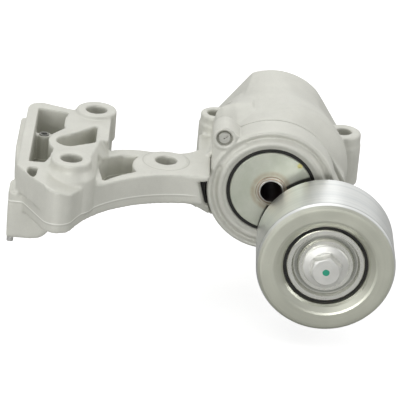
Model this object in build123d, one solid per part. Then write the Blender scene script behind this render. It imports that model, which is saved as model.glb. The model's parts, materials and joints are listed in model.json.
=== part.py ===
from build123d import *
import math
import os

# Belt tensioner with its idler pulley, millimetres, +Z up.
# Origin: centre of the middle bolt hole, on the flat mounting plane of the bracket.
# The arm pivots and the pulley spins about axes parallel to Y; -Y is the pulley side.

# --- driving dimensions -------------------------------------------------------------------
beam_height = 16.0            # bracket arm, from the mounting plane to its top
bolt_hole_r = 5.5             # clearance for M10
pivot_x, pivot_z = 54.5, 6.0  # pivot axis, parallel to Y
plate_face_y = -4.5           # front face of the retaining plate on the pivot
part_line_y = 11.0            # front end of the fixed drum, behind the moving hub
drum_back_y = 83.5
hub_r = 33.0
drum_front_r, drum_back_r = 33.0, 31.8
joint_gap = 0.4               # between the moving hub and the casting around it

pulley_x, pulley_z = pivot_x + 29.3, pivot_z - 22.2
pulley_r = 35.0
pulley_back_y = plate_face_y - 8.0
pulley_width = 31.5
pulley_front_y = pulley_back_y - pulley_width
running_gap = 0.05            # radial clearance of a running fit
bolt_r, bolt_end_y = 5.0, 6.0 # shank of the pulley's bolt, and where it ends in the arm


# --- helpers ------------------------------------------------------------------------------
def turned(points, x=pivot_x, z=pivot_z):
    """Solid of revolution about the Y direction through (x, z); points are (radius, y)."""
    profile = make_face(Polyline(*points, close=True))
    return Pos(x, 0, z) * revolve(profile, Axis.Y, 360)


def tube(outer_r, inner_r, y_from, y_to, x=pivot_x, z=pivot_z):
    """Plain ring along Y."""
    return turned([(inner_r, y_from), (outer_r, y_from), (outer_r, y_to), (inner_r, y_to)], x, z)


def rod(radius, y_from, y_to, x=pivot_x, z=pivot_z):
    """Solid cylinder along Y."""
    return tube(radius, 0, y_from, y_to, x, z)


def post(radius, x, y, z_from, z_to):
    """Solid cylinder along Z."""
    return Pos(x, y, z_from) * Cylinder(radius, z_to - z_from, align=(Align.CENTER, Align.CENTER, Align.MIN))


def block(x_from, x_to, y_from, y_to, z_from, z_to):
    """Box from its two corners."""
    size = (x_to - x_from, y_to - y_from, z_to - z_from)
    return Pos(x_from, y_from, z_from) * Box(*size, align=(Align.MIN, Align.MIN, Align.MIN))


def slab(outline, z_from, z_to):
    """Closed plan outline, given as edges, raised from z_from to z_to."""
    return Pos(0, 0, z_from) * extrude(make_face(outline), z_to - z_from)


def polygon_slab(points, z_from, z_to, corner_r=0):
    """Polygon in plan with rounded corners, raised from z_from to z_to."""
    face = make_face(Polyline(*points, close=True))
    if corner_r:
        face = fillet(face.vertices(), corner_r)
    return Pos(0, 0, z_from) * extrude(face, z_to - z_from)


# --- bracket casting ----------------------------------------------------------------------
block_height = 24.0           # rim of the pocketed block at the left
foot_depth = 15.0             # how far the block's feet hang below the mounting plane
pocket_floor, drop_floor = 3.0, 12.0
rim_round = 1.4
boss_round = 0.8
boss_a = (-38.0, 37.0)        # rear left bolt
boss_b = (-46.8, -37.2)       # front left bolt, on a tall boss
boss_c = (0.0, 0.0)           # middle bolt
boss_d = (24.2, 45.0)         # ear at the left of the drum
boss_e = (91.1, 45.0)         # ear at the right of the drum
boss_a_top, boss_b_top, boss_d_top, boss_e_top = 26.0, 30.2, 26.2, 21.2
small_bolt_hole_r = 4.5       # clearance for M8, in the two ears by the drum
ear_bottom = -7.0             # the ears reach below the mounting plane
ear_relief = 0.7              # the ears' holes are wider by this below the ears
spot_face_r = 7.4             # room for the bolt's head above each ear
drum_cavity_r = 25.2
drum_cavity_y = drum_back_y - 7.0
shaft_seat_r = 8.5
column_x, column_y, column_top = -63.5, 17.0, 18.0
insert_r, insert_length = 2.4, 9.0
foot_pin = (-75.0, -36.5)
pin_r, pin_neck_r, pin_root_r = 1.7, 1.45, 1.9     # locating end, undercut, end set in the foot
pin_root_length, pin_neck_length, pin_length = 5.0, 0.4, 2.4
stop_window = [(16.6, 12.5), (24.0, 13.0), (25.2, -4.4), (21.3, -4.0)]   # (x, z) corners
window_floor_y, stop_pad_depth = 6.0, 10.0


def rounded_top(solid, radius=rim_round):
    """Round the edges of the highest face."""
    return fillet(solid.edges().group_by(Axis.Z)[-1], radius)


def beam_outline():
    """Plan outline of the arm, from the lobe round the front bolt to the drum."""
    front = [
        Line((40, -15.5), (14.5, -15.5)),
        ThreePointArc((14.5, -15.5), (-21, -26.5), (-44, -57.5)),
        ThreePointArc((-44, -57.5), (-51.5, -62.5), (-58.5, -58.5)),
        Line((-58.5, -58.5), (-69.5, -39.5)),
    ]
    back = [
        Line((-69.5, -39.5), (-69.5, 7.5)),
        Line((-69.5, 7.5), (-29.5, 7.5)),
        Spline((-29.5, 7.5), (-13.5, 11.5), (4.5, 11.0), (16, 18)),
        Line((16, 18), (16, 38)),
        Line((16, 38), (40, 38)),
        Line((40, 38), (40, -15.5)),
    ]
    return front + back


def beam_pocket():
    """Open pocket in the arm's top, left of the middle bolt, with that bolt's boss bulging into it."""
    return slab([
        Polyline((-34, -12), (-29, 0), (-22.5, 3.8), (-14, 3.8)),
        ThreePointArc((-14, 3.8), (-17, -7.5), (-14.5, -15.7)),
        ThreePointArc((-14.5, -15.7), (-23, -22), (-30.5, -30.5)),
        Line((-30.5, -30.5), (-34, -12)),
    ], pocket_floor, beam_height + 1)


def block_body():
    """Left block: a raised rim on a slightly wider base, and a foot at each end of its left side."""
    base = polygon_slab([(-74, -30), (-77, 5), (-77, 42), (-50, 42), (-30, 38), (-30, -4), (-60, -30)],
                        0, beam_height, 2.5)
    front_corner = polygon_slab([(-77, -39.5), (-77, -24), (-60, -24), (-60, -39.5)], 0, 10, 2.5)
    upper = slab([
        Polyline((-73.5, -30), (-73.5, 37)),
        ThreePointArc((-73.5, 37), (-71, 43), (-65.5, 44.5)),
        Polyline((-65.5, 44.5), (-51.5, 39), (-38, 37), (-30, 37), (-30, -6), (-34.5, -10), (-34, -32),
                 (-40.5, -46), (-44, -57.5)),
        ThreePointArc((-44, -57.5), (-51.5, -62.5), (-58.5, -58.5)),
        Polyline((-58.5, -58.5), (-66.5, -48.5), (-73.5, -37), (-73.5, -30)),
    ], beam_height - 6, block_height)
    ramp = [(-58, block_height), (-50, 22), (-30, beam_height)]      # (x, z), in front of the boss
    over = Polyline(*ramp, (-30, block_height + 1), (-58, block_height + 1), close=True)
    upper -= Pos(0, -38, 0) * extrude(Plane.XZ * make_face(over), 40)
    under = Polyline(*ramp, (-30, 1), (-58, 1), close=True)
    lobe = Pos(0, -30, 0) * extrude(Plane.XZ * make_face(under), 40) & slab(beam_outline(), 0, block_height)
    slope = Polyline((0, block_height), (5, beam_height), (30, beam_height), (30, block_height + 1),
                     (0, block_height + 1), close=True)
    slope_heading = math.degrees(math.atan2(-11, 64))
    upper -= Pos(-34, 2, 0) * Rot(0, 0, slope_heading) * extrude(Plane.XZ * make_face(slope), 80)
    foot_front = block(-77, -55, -39.5, -12, -foot_depth, 4)
    foot_front = fillet(foot_front.edges().filter_by(Axis.Y).sort_by(Axis.X)[-2:].sort_by(Axis.Z)[0], 9)
    foot_back = block(-77, -57.5, 20, 42, -foot_depth, 4)
    return base + front_corner + upper + lobe + foot_front + foot_back


def block_pockets():
    """Deep pocket, drop-shaped pocket and small pocket in the left block."""
    deep = slab([
        Polyline((-60.5, -31.5), (-68, -31.5), (-68, 38), (-52, 34)),
        Spline((-52, 34), (-53.7, 22.5), (-53, 13.5)),
        Line((-53, 13.5), (-58.5, 5.5)),
        ThreePointArc((-58.5, 5.5), (-60.2, -3), (-57, -13)),
        Polyline((-57, -13), (-58.5, -24.5), (-60.5, -31.5)),
    ], pocket_floor, block_height + 1)
    drop = slab([
        ThreePointArc((-52, 4.5), (-56, -3), (-48.5, -8.8)),
        Polyline((-48.5, -8.8), (-36.5, -1.5), (-36.5, 20.5), (-45.5, 10.5), (-52, 4.5)),
    ], drop_floor, block_height + 1)
    small = slab([
        Polyline((-62.8, -37.6), (-67, -37.6)),
        ThreePointArc((-67, -37.6), (-68, -43), (-64, -50.5)),
        Line((-64, -50.5), (-62.8, -37.6)),
    ], beam_height - 6, block_height + 1)
    return deep + drop + small


def insert_column():
    """Column for the threaded insert, standing in the deep pocket and tied to its wall."""
    column = post(3.4, column_x, column_y, pocket_floor - 1, column_top)
    tie = block(-60.5, -56.5, 14.5, 19.5, pocket_floor - 1, column_top - 0.5)
    return column + tie


def bolt_boss(centre, radius, bottom, top):
    """Round boss with a rounded upper edge."""
    return rounded_top(post(radius, *centre, bottom, top), boss_round)


def front_boss():
    """Boss of the front left bolt, flaring out at its root."""
    x, y = boss_b
    radius, flare, flare_z, flare_height = 10.2, 2.4, 22.0, 4.0
    cone = Pos(x, y, flare_z) * Cone(radius + flare, radius, flare_height,
                                     align=(Align.CENTER, Align.CENTER, Align.MIN))
    return bolt_boss(boss_b, radius, beam_height, boss_b_top) + post(radius + flare, x, y, 4, flare_z) + cone


def flank(front_section, back_section):
    """Shoulder beside the drum, lofted between two sections given as (x, z) from the pivot axis."""
    ends = []
    for section, y in ((front_section, part_line_y), (back_section, drum_back_y)):
        points = [(pivot_x + x, y, pivot_z + z) for x, z in section]
        ends.append(make_face(Polyline(*points, close=True)))
    return loft(ends, ruled=True)


def stacked(faces):
    """Solid ruled through a row of faces."""
    solid = loft(faces[:2], ruled=True)
    for pair in zip(faces[1:], faces[2:]):
        solid += loft(pair, ruled=True)
    return solid


def left_shoulder():
    """Swelling at the drum's front left, in front of the ear: sections of (x, z) from the pivot axis."""
    sections = (
        (part_line_y, [(-12, 10), (-12, 29), (-19, 26.2), (-25, 20.4),
                       (-28, 16.3), (-30, 12), (-32, 5), (-12, -6)]),
        (34, [(-12, 10), (-12, 32), (-21, 30.8), (-28, 28),
              (-30.7, 24.5), (-31.5, 18.5), (-32, 5), (-12, -6)]),
        (62, [(-12, 10), (-12, 28), (-18.5, 24.7), (-24.5, 19),
              (-27.5, 14.5), (-29.3, 10.5), (-31, 3), (-12, -6)]),
    )
    faces = []
    for y, points in sections:
        corners = [(pivot_x + x, y, pivot_z + z) for x, z in points]
        faces.append(make_face(Polyline(*corners, close=True)))
    return stacked(faces)


def right_shoulder():
    """Swelling at the drum's front right: rounds of (y, offset in x, offset in z, radius)."""
    rounds = ((part_line_y, 0.6, -0.4, 32.0), (24, 6.5, 1.5, 33.0), (30, 6.5, 1.5, 33.0), (58, 2.0, 0.0, 31.4))
    faces = []
    for y, x, z, radius in rounds:
        faces.append(Pos(pivot_x + x, y, pivot_z + z) * Rot(90, 0, 0) * make_face(Circle(radius).edges()))
    return stacked(faces)


def drum():
    """Spring drum: a slightly tapered barrel, closed at the back, with flattened flanks."""
    barrel = turned([
        (0, part_line_y), (drum_front_r, part_line_y), (drum_back_r, drum_back_y - 1.5),
        (drum_back_r - 1.5, drum_back_y), (0, drum_back_y),
    ])
    reach = 200
    for angle, front_distance, back_distance in ((142.5, 33.2, 27.2), (33.0, 33.2, 31.2)):
        tilt = math.degrees(math.atan2(front_distance - back_distance, drum_back_y - part_line_y))
        corner = (Align.MIN, Align.MIN, Align.CENTER)
        cutter = Pos(0, -reach / 2, 0) * Box(reach, reach * 2, reach, align=corner)
        cutter = Pos(front_distance, 0, 0) * Rot(0, 0, tilt) * cutter
        barrel -= Pos(pivot_x, part_line_y, pivot_z) * Rot(0, -angle, 0) * cutter
    right = flank([(12, 0), (20, 20), (28, 17.8), (37.8, 2.6), (37.8, -6), (24, -6), (12, -20)],
                  [(12, 0), (18, 18), (26, 17.2), (37.8, -1), (37.8, -6), (24, -6), (12, -16)])
    left = flank([(-12, 0), (-16, 24), (-27, 19), (-36, 8), (-36, -6), (-24, -6), (-12, -12)],
                 [(-12, 0), (-10, 22), (-16, 20.5), (-27.6, 4.7), (-31, -4), (-24, -6), (-12, -12)])
    return barrel + right + left + right_shoulder() + left_shoulder()


def web():
    """Wall that carries the end of the arm round the moving hub, with the stop window in it."""
    side = Polyline((12.5, 0), (12.5, beam_height), (30, beam_height), (34, -10), (34, -20.6), (27.2, -15.4),
                    (23, -8.8), (19, -4.9), close=True)
    plan = polygon_slab([(12.5, -15.5), (20, -9), (23.5, -5), (27, 5), (33, 9.5), (33, 14), (12.5, 14)],
                        -30, beam_height)
    return Pos(0, 20, 0) * extrude(Plane.XZ * make_face(side), 40) & plan


def window():
    """Opening in the web, left of the hub."""
    outline = Polyline(*stop_window, close=True)
    return Pos(0, window_floor_y, 0) * extrude(Plane.XZ * make_face(outline), 40)


def bracket_casting():
    """Arm, block, bosses and spring drum, cast in one piece."""
    body = slab(beam_outline(), 0, beam_height) + block_body()
    body += post(9.2, *boss_a, 0, 12) + bolt_boss(boss_a, 10.5, 10, boss_a_top)
    body -= block_pockets() + beam_pocket()
    body += insert_column() + front_boss()
    body += bolt_boss(boss_c, 11.5, 0, beam_height + 0.6)
    body += bolt_boss(boss_d, 8.0, 0, boss_d_top) + post(8.7, *boss_d, ear_bottom, boss_d_top - 5.5)
    body += bolt_boss(boss_e, 9.6, 0, boss_e_top) + post(10.0, *boss_e, ear_bottom, boss_e_top - 6.5)
    body += drum()
    body += block(22, 45, 39, 51, 0, 20)                       # wall from the left ear to the drum
    body += block(74, 91, 39, 51, 0, 15)                       # wall from the right ear to the drum
    body += web()
    swept = rod(hub_r + joint_gap, plate_face_y - 20, part_line_y)
    body -= swept + window()
    body -= rod(drum_cavity_r, part_line_y - 1, drum_cavity_y)
    body += tube(shaft_seat_r + 4, 0, drum_cavity_y - 4, drum_back_y)
    body -= rod(shaft_seat_r, part_line_y, drum_back_y + 1)
    holes = ((boss_a, bolt_hole_r), (boss_b, bolt_hole_r), (boss_c, bolt_hole_r),
             (boss_d, small_bolt_hole_r), (boss_e, small_bolt_hole_r))
    for (x, y), radius in holes:
        body -= post(radius, x, y, -40, 60)
    body -= post(insert_r, column_x, column_y, column_top - insert_length, column_top + 1)
    for (x, y), top in ((boss_d, boss_d_top), (boss_e, boss_e_top)):
        body -= post(small_bolt_hole_r + ear_relief, x, y, -40, ear_bottom) + post(spot_face_r, x, y, top, 60)
    body -= post(pin_root_r, *foot_pin, -foot_depth - 1, -foot_depth + pin_root_length)
    return body


def foot_dowel_pin():
    """Stepped dowel set in the front foot, with an undercut where it leaves the foot."""
    neck_end = -foot_depth - pin_neck_length
    root = post(pin_root_r, *foot_pin, -foot_depth, -foot_depth + pin_root_length)
    neck = post(pin_neck_r, *foot_pin, neck_end, -foot_depth)
    return root + neck + post(pin_r, *foot_pin, neck_end - pin_length, neck_end)


# --- pivot --------------------------------------------------------------------------------
face = plate_face_y
plate_r, plate_thickness = 21.0, 2.0
recess_r = 22.8               # recess in the hub round the plate
washer_thickness = 1.0
hub_floor_y = face + plate_thickness + washer_thickness + 0.15
hub_back_y = part_line_y - 0.8
shaft_r, shaft_bore_r, shaft_neck_r = shaft_seat_r, 5.5, 6.5
collar_r = 8.0
bush_outer_r = 10.2
sleeve_r, sleeve_end_y = 14.0, 57.5
ear_x, ear_z, ear_r, lock_hole_r = -26.0, 27.0, 6.0, 3.2
lock_recess_r, lock_recess_depth = 4.1, 2.2
arm_boss_r = 12.0
seal_inner_r = plate_r + 0.15
spring_wire_r, spring_coil_r, spring_turns = 2.4, 19.3, 9
spring_seat_y = hub_back_y + 3.3
spring_end_y = drum_cavity_y - 3.0
damper_r, damper_inner_r = drum_cavity_r - 0.1, 22.9


def pivot_shaft():
    """Hollow shaft, pressed into the drum's back wall, with a neck for the plate."""
    return turned([
        (shaft_bore_r, face - 0.8), (shaft_neck_r - 0.4, face - 0.8), (shaft_neck_r, face - 0.4),
        (shaft_neck_r, face + plate_thickness), (shaft_r, face + plate_thickness),
        (shaft_r, drum_back_y + 0.5), (shaft_bore_r, drum_back_y + 0.5),
    ])


def retaining_plate():
    """Round steel plate on the shaft's neck, with a slight edge break and an index notch."""
    plate = turned([
        (collar_r, face), (plate_r - 0.4, face), (plate_r, face + 0.4),
        (plate_r, face + plate_thickness), (collar_r, face + plate_thickness),
    ])
    notch_angle = math.radians(49)
    notch = rod(1.3, face - 1, face + 0.5, pivot_x + (plate_r - 0.6) * math.cos(notch_angle),
                pivot_z + (plate_r - 0.6) * math.sin(notch_angle))
    return plate - notch


def lock_pin_place():
    """Axis of the lock hole in the hub's ear, as (x, z)."""
    return pivot_x + ear_x, pivot_z + ear_z


def arm_casting():
    """Moving hub with its sleeve, the ear for the lock pin, and the arm to the pulley."""
    hub = turned([
        (bush_outer_r, hub_floor_y), (recess_r, hub_floor_y), (recess_r, face + 0.6), (23.6, face - 0.2),
        (24.4, face - 0.4), (25.2, face - 1.2), (26.4, face - 1.4), (27.4, face - 1.0), (28.6, face + 0.9),
        (29.6, face + 1.0), (30.8, face - 0.2), (31.8, face - 0.4), (32.7, face + 0.2), (hub_r, face + 1.2),
        (hub_r, hub_back_y), (sleeve_r, hub_back_y), (sleeve_r, sleeve_end_y), (bush_outer_r, sleeve_end_y),
    ])
    lock_x, lock_z = lock_pin_place()
    ear = rod(ear_r, face - 0.4, hub_back_y, lock_x, lock_z)
    neck_sides = [(-32, 27), (-31.3, 11.2), (-20, 12), (-14, 24), (-22, 31.5)]
    neck = Polyline(*[(pivot_x + x, pivot_z + z) for x, z in neck_sides], close=True)
    neck = Pos(0, hub_back_y, 0) * extrude(Plane.XZ * make_face(neck), hub_back_y - face - 0.2)
    spread = math.degrees(math.atan2(pulley_z - pivot_z, pulley_x - pivot_x))
    length = math.hypot(pulley_x - pivot_x, pulley_z - pivot_z)
    back = hub_back_y - 0.5
    lobe_r = 17.0
    lean = math.acos((hub_r - 1.0 - lobe_r) / length)
    tangents = []
    for radius, along in ((hub_r - 1.0, 0.0), (lobe_r, length)):
        tangents.append((along + radius * math.cos(lean), radius * math.sin(lean)))
    near, far = tangents
    plan = Polyline((near[0], near[1]), (far[0], far[1]), (far[0], -far[1]), (near[0], -near[1]), close=True)
    lobe = Pos(length, 0, 0) * Cylinder(lobe_r, back + 1.5, align=(Align.CENTER, Align.CENTER, Align.MIN))
    wedge = extrude(make_face(plan), back + 1.5) + lobe
    arm = Pos(pivot_x, back, pivot_z) * Rot(0, -spread, 0) * Rot(90, 0, 0) * wedge
    arm -= rod(recess_r + 3, face - 20, back + 1)
    boss = turned([(bolt_r, arm_boss_end_y), (arm_boss_r - 1, arm_boss_end_y), (arm_boss_r, arm_boss_end_y + 1),
                   (arm_boss_r, 0), (bolt_r, 0)], pulley_x, pulley_z)
    body = hub + (neck - rod(recess_r + 1, face - 5, hub_back_y)) + ear + arm + boss
    body -= rod(lock_recess_r, face - 5, face - 0.4 + lock_recess_depth, lock_x, lock_z)
    body -= rod(lock_hole_r, face - 5, hub_back_y + 1, lock_x, lock_z)
    body -= rod(bolt_r, arm_boss_end_y - 1, bolt_end_y + 1, pulley_x, pulley_z)
    return body - rod(bush_outer_r, face - 10, sleeve_end_y + 1)


def lock_pin():
    """Pin in the ear's hole, with a screwdriver slot in its end."""
    x, z = lock_pin_place()
    front = face
    pin = turned([(0, front), (lock_hole_r - 0.5, front), (lock_hole_r, front + 0.5), (lock_hole_r, face + 8.6),
                  (0, face + 8.6)], x, z)
    slot = Pos(x, front, z) * Rot(0, -45, 0) * block(-0.4, 3.5, -0.5, 0.9, -0.35, 0.35)
    return pin - slot


def torsion_spring():
    """Round-wire coil spring lying in the drum round the hub's sleeve."""
    start = spring_seat_y
    pitch = (spring_end_y - start - 2 * spring_wire_r) / spring_turns
    path = Helix(pitch, pitch * spring_turns, spring_coil_r)
    wire = sweep(Plane(path @ 0, z_dir=path % 0) * Circle(spring_wire_r), path)
    return Pos(pivot_x, start + spring_wire_r, pivot_z) * Rot(-90, 0, 0) * wire


# --- pulley -------------------------------------------------------------------------------
ball_r, pitch_r, ball_count = 3.37, 14.25, 8
bearing_front_y = pulley_front_y + 7.0
bearing_back_y = bearing_front_y + 12.0
bearing_mid_y = (bearing_front_y + bearing_back_y) / 2
inner_bore_r, inner_r, outer_inner_r, outer_r = 8.5, 12.2, 16.3, 20.0
race_r = ball_r + 0.04
spacer_thickness = 1.4
arm_boss_end_y = bearing_back_y + spacer_thickness + 0.8
shield_back_y = pulley_front_y + 4.0      # back of the front dust shield, on its spacer
sheet = 2.2                               # steel sheet of the pulley shell
hex_size, hex_height, flange_r = 14.0, 6.0, 11.7


def on_pulley(points):
    """Solid of revolution about the pulley's axis."""
    return turned(points, pulley_x, pulley_z)


def pulley_shell():
    """Pressed steel shell: flat rim, rounded shoulder, flat face, and a rolled inner tube."""
    front, back = pulley_front_y, pulley_back_y
    return on_pulley([
        (pulley_r - 0.8, back), (pulley_r, back - 0.8), (pulley_r, front + 2.6), (34.3, front + 0.9),
        (33.0, front + 0.1), (31.8, front), (26.2, front), (25.0, front + 0.3), (22.6, front + 1.9),
        (21.5, front + 3.2), (21.2, front + 4.6), (21.2, front + 6.2), (outer_r, front + 6.2),
        (outer_r, bearing_back_y + 1.0), (21.8, bearing_back_y + 1.0), (21.8, front + 8.0),
        (23.2, front + 4.6), (25.6, front + sheet + 0.3), (27.0, front + sheet), (31.2, front + sheet),
        (32.8, front + 3.4), (pulley_r - sheet, back),
    ])


def groove(ball_clearance=race_r):
    """Ring that the balls run round in."""
    return Pos(pulley_x, bearing_mid_y, pulley_z) * Rot(90, 0, 0) * Torus(pitch_r, ball_clearance)


def bearing_ring(inside, outside):
    """Bearing ring with its race."""
    return tube(outside, inside, bearing_front_y, bearing_back_y, pulley_x, pulley_z) - groove()


def ball_places(radius):
    """Spheres where the balls sit."""
    spheres = []
    for step in range(ball_count):
        angle = math.radians(360 / ball_count * step + 12)
        spheres.append(Pos(pulley_x + pitch_r * math.cos(angle), bearing_mid_y,
                           pulley_z + pitch_r * math.sin(angle)) * Sphere(radius))
    return spheres


def bearing_cage():
    """Ring between the races with a pocket for each ball."""
    cage = tube(15.1, 13.4, bearing_mid_y - 4.1, bearing_mid_y + 4.1, pulley_x, pulley_z)
    for sphere in ball_places(ball_r + 0.12):
        cage -= sphere
    return cage


def bearing_seal(y_from):
    """Rubber lip seal held by the outer ring, just clear of the inner one."""
    return tube(outer_inner_r, inner_r + 0.2, y_from, y_from + 0.9, pulley_x, pulley_z)


def front_dust_shield():
    """Pressed shield under the bolt's flange: flat centre, sunken channel, flat lip."""
    back = shield_back_y
    return on_pulley([
        (bolt_r + 0.1, back), (bolt_r + 0.1, back - 1.0), (13.6, back - 1.0), (14.6, back + 1.2),
        (16.2, back + 1.2), (17.2, back - 0.6), (19.2, back - 0.6), (19.5, back - 0.3), (19.5, back + 0.3),
        (17.6, back + 0.3), (16.8, back + 2.1), (14.0, back + 2.1), (13.0, back),
    ])


def pulley_bolt():
    """Hexagon bolt with a flange; its shank ends in the arm."""
    seat = shield_back_y - 1.0
    top = seat - 1.8 - hex_height
    shank = on_pulley([(0, seat), (bolt_r, seat), (bolt_r, bolt_end_y - 1), (bolt_r - 1, bolt_end_y),
                       (0, bolt_end_y)])
    flange = on_pulley([(0, seat), (flange_r, seat), (flange_r, seat - 0.9), (flange_r - 0.4, seat - 1.3),
                        (8.4, seat - 1.9), (0, seat - 1.9)])
    head = RegularPolygon(hex_size / 2, 6, major_radius=False)
    head = Pos(pulley_x, seat, pulley_z) * Rot(90, 0, 0) * extrude(Rot(0, 0, 80) * head, 1.8 + hex_height)
    crown = on_pulley([(0, seat), (9, seat), (9, top + 1.3), (6.6, top), (0, top)])
    return shank + flange + (head & crown)


# --- the pieces ---------------------------------------------------------------------------
parts = {
    "bracket_casting": bracket_casting(),
    "foot_dowel_pin": foot_dowel_pin(),
    "threaded_insert": post(insert_r, column_x, column_y, column_top - insert_length, column_top + 0.4)
    - post(insert_r - 0.6, column_x, column_y, column_top - insert_length - 1, column_top + 1),
    "stop_pad": Pos(0, window_floor_y, 0) * extrude(
        Plane.XZ * offset(make_face(Polyline(*stop_window, close=True)), -0.3), stop_pad_depth)
    - rod(hub_r + joint_gap + 0.2, -30, 30),
    "pivot_shaft": pivot_shaft(),
    "retaining_plate": retaining_plate(),
    "bronze_collar": turned([(shaft_neck_r, face - 0.5), (collar_r - 0.3, face - 0.5), (collar_r, face - 0.2),
                             (collar_r, face + plate_thickness), (shaft_neck_r, face + plate_thickness)]),
    "thrust_washer": tube(20.5, shaft_r, face + plate_thickness, face + plate_thickness + washer_thickness),
    "wear_ring": tube(drum_front_r - 1.2, drum_cavity_r + 0.5, part_line_y - 0.55, part_line_y),
    "damping_sleeve": tube(damper_r, damper_inner_r, part_line_y + 2, drum_cavity_y - 18),
    "torsion_spring": torsion_spring(),
    "rear_spring_seat": tube(22.5, shaft_seat_r + 4.2, spring_end_y + 0.1, drum_cavity_y),
    "rear_shaft_spacer": tube(12.3, shaft_r + 0.05, sleeve_end_y + 0.3, drum_cavity_y - 4),
    "arm_casting": arm_casting(),
    "front_pivot_bush": tube(bush_outer_r, shaft_r + running_gap, hub_floor_y + 0.2, hub_floor_y + 20),
    "rear_pivot_bush": tube(bush_outer_r, shaft_r + running_gap, sleeve_end_y - 20, sleeve_end_y),
    "front_spring_seat": tube(22.3, sleeve_r, hub_back_y, spring_seat_y - 0.3),
    "plate_seal_ring": tube(recess_r, seal_inner_r, face + 0.9, hub_floor_y),
    "lock_pin": lock_pin(),
    "pulley_shell": pulley_shell(),
    "pulley_dust_ring": tube(21.2, 19.8, pulley_front_y + 4.7, pulley_front_y + 6.2, pulley_x, pulley_z),
    "bearing_outer_ring": bearing_ring(outer_inner_r, outer_r),
    "bearing_front_seal": bearing_seal(bearing_front_y + 0.2),
    "bearing_rear_seal": bearing_seal(bearing_back_y - 1.1),
    "bearing_balls": Compound(children=ball_places(ball_r)),
    "bearing_cage": bearing_cage(),
    "bearing_inner_ring": bearing_ring(inner_bore_r, inner_r),
    "bearing_sleeve": tube(inner_bore_r, bolt_r + 0.1, bearing_front_y, bearing_back_y, pulley_x, pulley_z),
    "front_spacer": tube(12.0, bolt_r + 0.1, shield_back_y, bearing_front_y, pulley_x, pulley_z),
    "rear_spacer": tube(12.0, bolt_r + 0.1, bearing_back_y, bearing_back_y + spacer_thickness,
                        pulley_x, pulley_z),
    "rear_dust_shield": tube(19.0, bolt_r + 0.1, bearing_back_y + spacer_thickness, arm_boss_end_y,
                             pulley_x, pulley_z),
    "front_dust_shield": front_dust_shield(),
    "pulley_bolt": pulley_bolt(),
}

os.makedirs("parts", exist_ok=True)
for node, shape in parts.items():
    export_step(shape, f"parts/{node}.step")
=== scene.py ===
import json
import math

import bmesh
import bpy
from mathutils import Matrix, Vector


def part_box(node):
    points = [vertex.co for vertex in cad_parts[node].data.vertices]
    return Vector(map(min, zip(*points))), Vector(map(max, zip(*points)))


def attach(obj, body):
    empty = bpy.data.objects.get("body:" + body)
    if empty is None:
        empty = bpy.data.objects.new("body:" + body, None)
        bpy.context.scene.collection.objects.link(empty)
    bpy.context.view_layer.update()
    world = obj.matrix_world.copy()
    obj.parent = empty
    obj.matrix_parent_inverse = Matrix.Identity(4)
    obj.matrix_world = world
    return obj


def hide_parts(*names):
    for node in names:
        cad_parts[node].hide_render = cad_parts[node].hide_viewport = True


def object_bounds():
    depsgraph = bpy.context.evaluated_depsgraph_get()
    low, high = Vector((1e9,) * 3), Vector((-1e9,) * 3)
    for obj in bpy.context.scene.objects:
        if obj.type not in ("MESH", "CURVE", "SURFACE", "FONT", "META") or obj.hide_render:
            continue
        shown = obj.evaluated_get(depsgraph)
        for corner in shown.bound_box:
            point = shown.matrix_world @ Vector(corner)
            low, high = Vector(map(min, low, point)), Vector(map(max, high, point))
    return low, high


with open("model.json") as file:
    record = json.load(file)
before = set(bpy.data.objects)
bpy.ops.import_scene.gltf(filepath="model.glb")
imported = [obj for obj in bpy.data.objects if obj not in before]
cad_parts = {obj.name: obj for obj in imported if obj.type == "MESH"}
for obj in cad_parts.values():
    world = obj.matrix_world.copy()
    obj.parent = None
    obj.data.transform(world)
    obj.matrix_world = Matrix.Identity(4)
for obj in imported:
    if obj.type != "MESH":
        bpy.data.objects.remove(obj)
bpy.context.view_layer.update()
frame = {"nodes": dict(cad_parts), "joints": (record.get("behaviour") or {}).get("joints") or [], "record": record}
mounts = {m["name"]: Vector(m["pos_m"]) for m in frame["record"]["mounts"]}
joints = {j["name"]: Vector(j["pos_m"]) for j in frame["joints"]}
MM = 0.001
bores = {m["name"]: m["dims"]["r_mm"] * MM for m in frame["record"]["mounts"] if m["kind"] == "bore"}
pivot = joints["arm_pivot"]
pulley_axis = joints["pulley_spin"]
plate_face_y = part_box("retaining_plate")[0].y
pole = Vector((0, 0, 1))

floor_gap = 11 * MM      # room below the model for the pulley when the arm has turned
bracket_voxel, bracket_rounds = 0.75 * MM, 4     # how finely and how often each skin is smoothed
arm_voxel, arm_rounds = 0.5 * MM, 3
parting_z = 5 * MM       # height of the die's parting ridge; a painted highlight along it and a painted shade line just below
boss_step_r = 11.9 * MM  # edge of the middle bolt's boss in the arm's top, where a painted shade line runs
yellow_mark = (13.4 * MM, 15.0 * MM)     # across and up from the pivot, on the plate
dot_r = 1.95 * MM        # paint dot on the bolt's head
rim_r = 34.4 * MM        # the pulley's running face starts here
groove_shade_y = 2.7 * MM        # painted shade line round the running face, at a small groove behind its front edge
channel_r = 15.1 * MM    # dished channel of the dust shield, painted darker as shade
copper_r = (6.6 * MM, 8.0 * MM)          # brown rings at the collar's two edges


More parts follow.
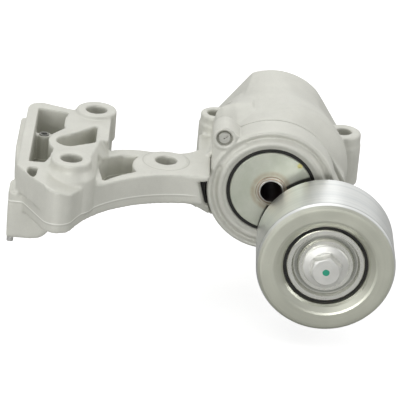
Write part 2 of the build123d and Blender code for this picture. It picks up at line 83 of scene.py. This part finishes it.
# --- node helpers -------------------------------------------------------------------------
class Shader:
    """A Principled material, with short calls that add nodes to it."""

    def __init__(self, name, **values):
        self.material = bpy.data.materials.new(name)
        self.material.use_nodes = True
        self.tree = self.material.node_tree
        self.surface = self.tree.nodes["Principled BSDF"]
        for socket, value in values.items():
            self.surface.inputs[socket.replace("_", " ")].default_value = value

    def node(self, kind, *inputs, **settings):
        """Add a node; inputs are sockets to link or plain values, in the node's own order, None to skip."""
        made = self.tree.nodes.new("ShaderNode" + kind)
        for key, value in settings.items():
            setattr(made, key, value)
        for index, value in enumerate(inputs):
            if value is None:
                continue
            if isinstance(value, bpy.types.NodeSocket):
                self.tree.links.new(value, made.inputs[index])
            else:
                made.inputs[index].default_value = value
        return made

    def place(self):
        """Position in the row frame, in metres."""
        return self.node("TexCoord").outputs["Object"]

    def math(self, operation, *values):
        return self.node("Math", *values, operation=operation).outputs[0]

    def noise(self, vector, scale, detail=2.0, roughness=0.5):
        made = self.node("TexNoise", vector)
        made.inputs["Scale"].default_value = scale
        made.inputs["Detail"].default_value = detail
        made.inputs["Roughness"].default_value = roughness
        return made.outputs[0]

    def ramp(self, value, *stops):
        """Colour ramp; stops are (position, grey or colour)."""
        made = self.node("ValToRGB", value)
        elements = made.color_ramp.elements
        while len(elements) < len(stops):
            elements.new(0.5)
        for element, (position, colour) in zip(elements, stops):
            element.position = position
            element.color = (*colour, 1) if isinstance(colour, tuple) else (colour, colour, colour, 1)
        return made.outputs[0]

    def mix(self, factor, a, b):
        return self.node("MixRGB", factor, a, b).outputs[0]

    def remap(self, value, low, high, to_low, to_high):
        return self.node("MapRange", value, low, high, to_low, to_high).outputs[0]

    def bump(self, height, distance, strength=1.0, normal=None):
        made = self.node("Bump")
        made.inputs["Strength"].default_value = strength
        made.inputs["Distance"].default_value = distance
        self.tree.links.new(height, made.inputs["Height"])
        if normal is not None:
            self.tree.links.new(normal, made.inputs["Normal"])
        return made.outputs[0]

    def set(self, socket, output):
        self.tree.links.new(output, self.surface.inputs[socket])

    def around(self, centre, axis_y=True):
        """(distance from the axis through centre, height along it, angle) for the Y or the Z direction."""
        offset = self.node("VectorMath", self.place(), tuple(centre), operation="SUBTRACT").outputs[0]
        parts = self.node("SeparateXYZ", offset).outputs
        across, along = (parts[2], parts[1]) if axis_y else (parts[1], parts[2])
        flat = self.node("CombineXYZ", parts[0], across, 0.0).outputs[0]
        distance = self.node("VectorMath", flat, operation="LENGTH").outputs["Value"]
        angle = self.math("ARCTAN2", across, parts[0])
        return distance, along, angle

    def peak(self, value, centre, half_width):
        """1 where value is at centre, falling smoothly to 0 at half_width from it."""
        away = self.math("ABSOLUTE", self.math("SUBTRACT", value, centre))
        return self.node("MapRange", away, 0.0, half_width, 1.0, 0.0,
                         interpolation_type="SMOOTHSTEP").outputs[0]


# --- materials ----------------------------------------------------------------------------
def cast_aluminium():
    """Matte die casting: fine grain, flow marks, a parting ridge with a painted highlight on it and a painted
    shade line below it, ejector marks, a painted shade line at the step round a boss.
    """
    m = Shader("cast_aluminium", Metallic=0.35)
    place = m.place()
    x, _, z = m.node("SeparateXYZ", place).outputs
    grain = m.noise(place, 1500, 3, 0.6)
    flow = m.noise(place, 70, 4, 0.6)
    blotch = m.noise(place, 22, 2, 0.5)
    colour = m.ramp(flow, (0.3, (0.61, 0.61, 0.555)), (0.7, (0.69, 0.69, 0.63)))
    colour = m.mix(m.remap(blotch, 0.35, 0.7, 0.0, 0.35), colour, (0.62, 0.62, 0.56, 1))
    colour = m.mix(m.remap(grain, 0.3, 0.7, 0.0, 0.10), colour, (0.42, 0.41, 0.39, 1))
    m.set("Roughness", m.remap(m.mix(0.5, grain, flow), 0.3, 0.7, 0.46, 0.60))
    outer = m.remap(x, 12 * MM, 18 * MM, 1.0, 0.0)
    # painted highlight on the parting ridge, which is also bumped, and a painted shade line just below it
    ridge_and_highlight = m.math("MULTIPLY", m.peak(z, parting_z, 0.5 * MM), outer)
    painted_ridge_shade = m.math("MULTIPLY", m.peak(z, parting_z - 0.8 * MM, 0.5 * MM), outer)
    colour = m.mix(m.math("MULTIPLY", ridge_and_highlight, 0.75), colour, (0.95, 0.95, 0.90, 1))
    colour = m.mix(m.math("MULTIPLY", painted_ridge_shade, 0.35), colour, (0.38, 0.37, 0.33, 1))
    normal = m.bump(ridge_and_highlight, 0.15 * MM, 0.5)
    for x, y in ((-8.5, -15.5), (-50.0, -57.0), (-33.0, 8.0)):
        distance, height, _ = m.around((x * MM, y * MM, 0), axis_y=False)
        on_top = m.math("GREATER_THAN", height, 10 * MM)
        rim = m.math("MULTIPLY", m.peak(distance, 2.0 * MM, 0.4 * MM), on_top)
        normal = m.bump(rim, 0.15 * MM, 0.8, normal)
    # painted shade: a dark line where the middle bolt's boss steps up from the arm's top
    distance, height, _ = m.around(mounts["bolt_middle"], axis_y=False)
    above = m.math("GREATER_THAN", height, 4 * MM)
    step = m.math("MULTIPLY", m.peak(distance, boss_step_r, 0.5 * MM), above)
    colour = m.mix(m.math("MULTIPLY", step, 0.4), colour, (0.36, 0.35, 0.31, 1))
    m.set("Base Color", colour)
    waviness = m.noise(place, 260, 2, 0.5)
    normal = m.bump(waviness, 0.22 * MM, 0.35, normal)
    m.set("Normal", m.bump(grain, 0.09 * MM, 0.5, normal))
    return m.material


def turned_steel(name, centre, light, dark, roughness, ground_from=None, channel=None):
    """Steel with fine lines round an axis along Y; it may be ground beyond a radius, with a painted shade line
    round the ground face, or have a channel painted darker as shade.
    """
    m = Shader(name, Metallic=1.0)
    distance, along, angle = m.around(centre)
    lines = m.node("CombineXYZ", distance, along, m.math("MULTIPLY", angle, 0.0004)).outputs[0]
    fine = m.noise(lines, 3800, 2, 0.6)
    broad = m.noise(lines, 420, 3, 0.6)
    patches = m.noise(m.place(), 60, 3, 0.5)
    colour = m.ramp(m.mix(0.5, broad, patches), (0.35, dark), (0.65, light))
    if ground_from:
        ground = m.remap(distance, ground_from - 0.4 * MM, ground_from, 0.0, 1.0)
        polished = m.ramp(broad, (0.35, (0.69, 0.71, 0.70)), (0.65, (0.79, 0.80, 0.78)))
        colour = m.mix(ground, colour, polished)
        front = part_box("pulley_shell")[0].y - centre.y
        # painted shade: a dark line round the ground running face, a little behind its front edge
        groove_shade = m.math("MULTIPLY", m.peak(along, front + groove_shade_y, 0.45 * MM), ground)
        colour = m.mix(m.math("MULTIPLY", groove_shade, 0.7), colour, (0.30, 0.30, 0.28, 1))
    if channel:
        # painted shade: the dished channel is coloured darker
        channel_shade = m.math("MULTIPLY", m.peak(distance, channel, 1.5 * MM), 0.75)
        colour = m.mix(channel_shade, colour, (0.22, 0.23, 0.20, 1))
    m.set("Base Color", colour)
    uneven = m.mix(0.5, fine, patches)
    m.set("Roughness", m.remap(uneven, 0.3, 0.7, roughness - 0.06, roughness + 0.06))
    m.set("Normal", m.bump(fine, 0.02 * MM, 0.5))
    return m.material


def zinc_plate():
    """Greenish-grey plated disc: turning lines, a stain round its bore, a yellow mark, a painted shadow along the
    pulley's back rim.
    """
    m = Shader("zinc_plate", Metallic=0.75)
    distance, _, angle = m.around(pivot)
    stain = m.math("MULTIPLY", m.peak(distance, 9.4 * MM, 2.2 * MM), m.noise(m.place(), 300, 3))
    blotch = m.noise(m.place(), 130, 4, 0.6)
    colour = m.ramp(blotch, (0.35, (0.54, 0.57, 0.48)), (0.65, (0.61, 0.63, 0.55)))
    colour = m.mix(stain, colour, (0.40, 0.31, 0.20, 1))
    mark = (pivot.x + yellow_mark[0], plate_face_y, pivot.z + yellow_mark[1])
    spot = m.node("VectorMath", m.place(), mark, operation="DISTANCE").outputs["Value"]
    edge = m.math("ADD", spot, m.math("MULTIPLY", m.noise(m.place(), 700, 3), 1.8 * MM))
    colour = m.mix(m.remap(edge, 1.9 * MM, 2.5 * MM, 0.9, 0.0), colour, (0.62, 0.58, 0.22, 1))
    # painted shadow: a near-black band on the plate just outside the pulley's back rim, where the pulley shades
    # it; it stays on the plate when the arm turns
    behind, _, _ = m.around(pulley_axis + Vector((0.8 * MM, 0, -2.4 * MM)))
    pulley_shadow = m.math("MULTIPLY", m.remap(behind, 35.3 * MM, 36.1 * MM, 1.0, 0.0),
                    m.math("GREATER_THAN", behind, 32 * MM))
    colour = m.mix(m.math("MULTIPLY", pulley_shadow, 0.9), colour, (0.012, 0.012, 0.014, 1))
    m.set("Base Color", colour)
    lines = m.node("CombineXYZ", distance, 0.0, m.math("MULTIPLY", angle, 0.0003)).outputs[0]
    fine = m.noise(lines, 3000, 2, 0.6)
    m.set("Roughness", m.remap(fine, 0.3, 0.7, 0.40, 0.52))
    m.set("Normal", m.bump(fine, 0.03 * MM, 0.4))
    return m.material


def plain_metal(name, light, dark, roughness):
    """Metal with faint patches and a fine uneven surface."""
    m = Shader(name, Metallic=1.0)
    patches = m.noise(m.place(), 150, 3, 0.55)
    grain = m.noise(m.place(), 900, 2, 0.6)
    m.set("Base Color", m.ramp(patches, (0.35, dark), (0.65, light)))
    m.set("Roughness", m.remap(grain, 0.3, 0.7, roughness - 0.05, roughness + 0.07))
    m.set("Normal", m.bump(grain, 0.02 * MM, 0.4))
    return m.material


def painted_bolt():
    """Plated bolt with a dot of teal paint in the middle of its head."""
    m = Shader("painted_bolt")
    distance, along, _ = m.around(pulley_axis)
    patches = m.noise(m.place(), 150, 3, 0.55)
    grain = m.noise(m.place(), 900, 2, 0.6)
    wobble = m.math("MULTIPLY", m.noise(m.place(), 500, 2), 0.5 * MM)
    dot = m.remap(m.math("ADD", distance, wobble), dot_r, dot_r + 0.15 * MM, 1.0, 0.0)
    head_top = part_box("pulley_bolt")[0].y - pulley_axis.y
    paint = m.math("MULTIPLY", dot, m.math("LESS_THAN", along, head_top + 0.5 * MM))
    metal = m.ramp(patches, (0.35, (0.74, 0.74, 0.71)), (0.65, (0.84, 0.84, 0.81)))
    m.set("Base Color", m.mix(paint, metal, (0.02, 0.32, 0.20, 1)))
    m.set("Metallic", m.math("SUBTRACT", 1.0, paint))
    m.set("Roughness", m.mix(paint, m.remap(grain, 0.3, 0.7, 0.42, 0.54), (0.5, 0.5, 0.5, 1)))
    m.set("Normal", m.bump(grain, 0.02 * MM, 0.4))
    return m.material


def shaft_end():
    """Pivot shaft: bright turned end face, with the inside of its bore coloured nearly black."""
    m = Shader("shaft_end")
    distance, _, _ = m.around(pivot)
    bore_r = bores["pivot_bore"]
    inside = m.remap(distance, bore_r + 0.05 * MM, bore_r + 0.25 * MM, 1.0, 0.0)
    patches = m.noise(m.place(), 200, 3, 0.6)
    metal = m.ramp(patches, (0.35, (0.50, 0.50, 0.46)), (0.65, (0.60, 0.60, 0.56)))
    bore_black = m.ramp(patches, (0.35, (0.012, 0.008, 0.008)), (0.7, (0.03, 0.02, 0.018)))
    m.set("Base Color", m.mix(inside, metal, bore_black))
    m.set("Metallic", m.math("SUBTRACT", 1.0, inside))
    m.set("Roughness", m.remap(patches, 0.3, 0.7, 0.30, 0.45))
    m.set("Normal", m.bump(m.noise(m.place(), 1200, 2), 0.02 * MM, 0.4))
    return m.material


def collar_metal():
    """Pale collar in the plate's bore, with a brown ring at each edge."""
    m = Shader("collar_metal", Metallic=0.9)
    distance, _, _ = m.around(pivot)
    patches = m.noise(m.place(), 250, 3, 0.6)
    pale = m.ramp(patches, (0.35, (0.52, 0.50, 0.43)), (0.65, (0.62, 0.60, 0.52)))
    inner, outer = (m.peak(distance, radius, 0.5 * MM) for radius in copper_r)
    ring = m.math("MAXIMUM", inner, outer)
    m.set("Base Color", m.mix(m.math("MULTIPLY", ring, 0.9), pale, (0.38, 0.24, 0.15, 1)))
    m.set("Roughness", m.remap(patches, 0.3, 0.7, 0.28, 0.40))
    m.set("Normal", m.bump(ring, 0.1 * MM, 0.5))
    return m.material


def matte_polymer(name, light, dark, roughness):
    """Rubber or plastic with a fine moulded grain and dusty patches."""
    m = Shader(name)
    patches = m.noise(m.place(), 200, 3, 0.6)
    grain = m.noise(m.place(), 2200, 2, 0.6)
    m.set("Base Color", m.ramp(patches, (0.35, dark), (0.7, light)))
    m.set("Roughness", m.remap(grain, 0.3, 0.7, roughness - 0.08, roughness + 0.08))
    m.set("Normal", m.bump(grain, 0.05 * MM, 0.4))
    return m.material


materials = {
    "cast_aluminium": cast_aluminium(),
    "pulley_steel": turned_steel("pulley_steel", pulley_axis, (0.74, 0.75, 0.65), (0.67, 0.68, 0.59), 0.38,
                                 ground_from=rim_r),
    "zinc_plate": zinc_plate(),
    "bolt_steel": plain_metal("bolt_steel", (0.80, 0.80, 0.78), (0.70, 0.70, 0.68), 0.28),
    "dust_shield": turned_steel("dust_shield", pulley_axis, (0.93, 0.93, 0.88), (0.84, 0.84, 0.79), 0.28,
                                channel=channel_r),
    "bronze": plain_metal("bronze", (0.50, 0.36, 0.22), (0.36, 0.25, 0.15), 0.35),
    # black_rubber also colours the stop pad deep in the arm's slot: a black piece standing in for the slot's shade
    "black_rubber": matte_polymer("black_rubber", (0.014, 0.014, 0.012), (0.004, 0.004, 0.003), 0.6),
    "bearing_steel": plain_metal("bearing_steel", (0.62, 0.62, 0.62), (0.52, 0.52, 0.52), 0.22),
    "thread_steel": plain_metal("thread_steel", (0.36, 0.36, 0.34), (0.22, 0.22, 0.20), 0.35),
    "dull_steel": plain_metal("dull_steel", (0.66, 0.66, 0.62), (0.52, 0.52, 0.48), 0.55),
    "spring_steel": plain_metal("spring_steel", (0.20, 0.20, 0.21), (0.12, 0.12, 0.13), 0.35),
    "glide_plastic": matte_polymer("glide_plastic", (0.10, 0.10, 0.10), (0.06, 0.06, 0.06), 0.5),
}
special = {"pulley_bolt": painted_bolt(), "pivot_shaft": shaft_end(), "bronze_collar": collar_metal(),
           "threaded_insert": materials["thread_steel"], "lock_pin": materials["dull_steel"]}
for part in frame["record"]["subparts"]:
    node = frame["nodes"][part["node"]]
    node.data.materials.clear()
    node.data.materials.append(special.get(part["node"], materials[part["material_slot"]]))


# --- pieces -------------------------------------------------------------------------------
def add_piece(name, mesh, body, slot, material=None):
    """Put a finished mesh in the scene on a body, with its slot's material or one given."""
    piece = bpy.data.objects.new(name, mesh)
    bpy.context.scene.collection.objects.link(piece)
    mesh.materials.clear()
    mesh.materials.append(materials[material or slot])
    for polygon in mesh.polygons:
        polygon.use_smooth = True
    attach(piece, body)
    return piece


def soft_casting(node, body, voxel, rounds):
    """Skin in place of a CAD casting, with the rounded edges and blended corners of a real one."""
    mesh = frame["nodes"][node].data.copy()
    shell = bmesh.new()
    shell.from_mesh(mesh)
    bmesh.ops.remove_doubles(shell, verts=shell.verts, dist=0.001 * MM)
    shell.to_mesh(mesh)
    shell.free()
    rough = bpy.data.objects.new(node + "_rough", mesh)
    bpy.context.scene.collection.objects.link(rough)
    remesh = rough.modifiers.new("remesh", "REMESH")
    remesh.mode = "VOXEL"
    remesh.voxel_size = voxel
    smooth = rough.modifiers.new("smooth", "SMOOTH")
    smooth.factor = 0.5
    smooth.iterations = rounds
    depsgraph = bpy.context.evaluated_depsgraph_get()
    finished = bpy.data.meshes.new_from_object(rough.evaluated_get(depsgraph))
    bpy.data.objects.remove(rough)
    piece = add_piece(node + "_skin", finished, body, "cast_aluminium")
    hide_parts(node)


def thread_coil():
    """Wire thread standing in the insert, as seen from above."""
    low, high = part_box("threaded_insert")
    centre = (low + high) / 2
    bore_r, wire_r, pitch = 1.8 * MM, 0.22 * MM, 0.8 * MM
    sides, steps, turns = 8, 24, 6
    reach = bore_r - wire_r * 0.6
    path = []
    for step in range(turns * steps + 1):
        angle = 2 * math.pi * step / steps
        path.append(Vector((centre.x + reach * math.cos(angle), centre.y + reach * math.sin(angle),
                            high.z - wire_r - pitch * step / steps)))
    coil = bmesh.new()
    rings = []
    for step, point in enumerate(path):
        outward = Vector((point.x - centre.x, point.y - centre.y, 0)).normalized()
        ring = []
        for side in range(sides):
            turn = 2 * math.pi * side / sides
            spoke = math.cos(turn) * outward + math.sin(turn) * pole
            ring.append(coil.verts.new(point + wire_r * spoke))
        rings.append(ring)
    for first, second in zip(rings, rings[1:]):
        for side in range(sides):
            after = (side + 1) % sides
            coil.faces.new((first[side], second[side], second[after], first[after]))
    coil.faces.new(rings[0])
    coil.faces.new(reversed(rings[-1]))
    bmesh.ops.recalc_face_normals(coil, faces=coil.faces)
    mesh = bpy.data.meshes.new("thread_coil")
    coil.to_mesh(mesh)
    coil.free()
    add_piece("thread_coil", mesh, "bracket", "bolt_steel", "thread_steel")


soft_casting("bracket_casting", "bracket", bracket_voxel, bracket_rounds)
soft_casting("arm_casting", "arm", arm_voxel, arm_rounds)
thread_coil()


# --- floor, lights and camera -------------------------------------------------------------
def studio():
    """White floor, with room below the model for the pulley when the arm has turned."""
    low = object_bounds()[0]
    mesh = bpy.data.meshes.new("floor")
    reach = 6.0
    corners = [(-reach, -reach, 0), (reach, -reach, 0), (reach, reach, 0), (-reach, reach, 0)]
    mesh.from_pydata(corners, [], [(0, 1, 2, 3)])
    floor = bpy.data.objects.new("floor", mesh)
    floor.location.z = low[2] - floor_gap
    bpy.context.scene.collection.objects.link(floor)
    m = Shader("floor", Roughness=0.9)
    m.set("Base Color", m.ramp(m.noise(m.place(), 3, 2), (0.3, 0.50), (0.7, 0.52)))
    m.set("Emission Color", m.ramp(m.noise(m.place(), 3, 2), (0.3, 0.98), (0.7, 1.0)))
    m.surface.inputs["Emission Strength"].default_value = 0.7
    dim = m.node("BsdfDiffuse", (0.42, 0.42, 0.41, 1)).outputs[0]
    seen = m.node("LightPath").outputs["Is Camera Ray"]
    both = m.node("MixShader", seen, dim, m.surface.outputs[0]).outputs[0]
    m.tree.links.new(both, m.tree.nodes["Material Output"].inputs["Surface"])
    mesh.materials.append(m.material)


def soft_box(name, place, target, size, power):
    """Rectangular studio light at a place, turned to a target."""
    light = bpy.data.lights.new(name, "AREA")
    light.shape = "RECTANGLE"
    light.size, light.size_y = size
    light.energy = power
    lamp = bpy.data.objects.new(name, light)
    lamp.location = place
    lamp.rotation_euler = (Vector(target) - Vector(place)).to_track_quat("-Z", "Y").to_euler()
    bpy.context.scene.collection.objects.link(lamp)


def sky():
    """Brightest behind and above the object, dimmer in front of it; white where the camera sees it."""
    world = bpy.data.worlds.new("sky")
    bpy.context.scene.world = world
    world.use_nodes = True
    tree = world.node_tree
    background = tree.nodes["Background"]
    parts = tree.nodes.new("ShaderNodeSeparateXYZ")
    tree.links.new(tree.nodes.new("ShaderNodeTexCoord").outputs["Generated"], parts.inputs[0])

    def rise(axis, low, high, amount):
        made = tree.nodes.new("ShaderNodeMapRange")
        made.interpolation_type = "SMOOTHSTEP"
        tree.links.new(parts.outputs[axis], made.inputs[0])
        for index, value in enumerate((low, high, 0.0, amount), 1):
            made.inputs[index].default_value = value
        return made.outputs[0]

    def total(a, b):
        made = tree.nodes.new("ShaderNodeMath")
        for index, value in enumerate((a, b)):
            if isinstance(value, float):
                made.inputs[index].default_value = value
            else:
                tree.links.new(value, made.inputs[index])
        return made.outputs[0]

    light = total(total(rise(1, -0.2, 0.5, 0.5), rise(2, 0.3, 0.9, 0.25)), 0.35)
    seen = tree.nodes.new("ShaderNodeLightPath").outputs["Is Camera Ray"]
    mix = tree.nodes.new("ShaderNodeMixRGB")
    tree.links.new(seen, mix.inputs[0])
    tree.links.new(light, mix.inputs[1])
    mix.inputs[2].default_value = (1, 1, 1, 1)
    tree.links.new(mix.outputs[0], background.inputs["Color"])


def camera():
    """Long lens a little above the pulley's axis, as in the photograph."""
    heading, lift, roll = math.radians(-1.0), math.radians(24.6), math.radians(5.0)
    back = Vector((math.sin(heading) * math.cos(lift), -math.cos(heading) * math.cos(lift), math.sin(lift)))
    level = Vector((math.cos(heading), math.sin(heading), 0))
    upward = back.cross(level)
    right = math.cos(roll) * level + math.sin(roll) * upward
    up = -math.sin(roll) * level + math.cos(roll) * upward
    hub = Vector((pivot.x, plate_face_y, pivot.z))
    distance = 1.4
    place = hub - 36.2 * MM * right - 4.58 * MM * up + distance * back
    data = bpy.data.cameras.new("camera")
    data.sensor_width = 36
    data.lens = 247.5
    data.clip_start, data.clip_end = 0.1, 50
    eye = bpy.data.objects.new("camera", data)
    eye.matrix_world = Matrix.Translation(place) @ Matrix((right, up, back)).transposed().to_4x4()
    bpy.context.scene.collection.objects.link(eye)
    bpy.context.scene.camera = eye


studio()
sky()
soft_box("key", (-0.25, 0.1, 1.3), (0.0, 0.0, 0.0), (1.3, 1.1), 3.8)
soft_box("front", (-0.3, -1.5, 0.2), (0.03, 0.0, 0.0), (0.45, 0.35), 7.5)
soft_box("left", (-1.2, -0.5, 0.5), (0.0, 0.0, 0.0), (0.5, 0.8), 3.2)
soft_box("right", (1.2, -0.3, 0.5), (0.06, 0.0, 0.0), (0.3, 0.8), 3.2)
soft_box("band", (0.15, 1.3, 0.6), (0.08, 0.0, 0.0), (0.3, 1.2), 0.6)
camera()
bpy.context.scene.view_settings.view_transform = "Standard"
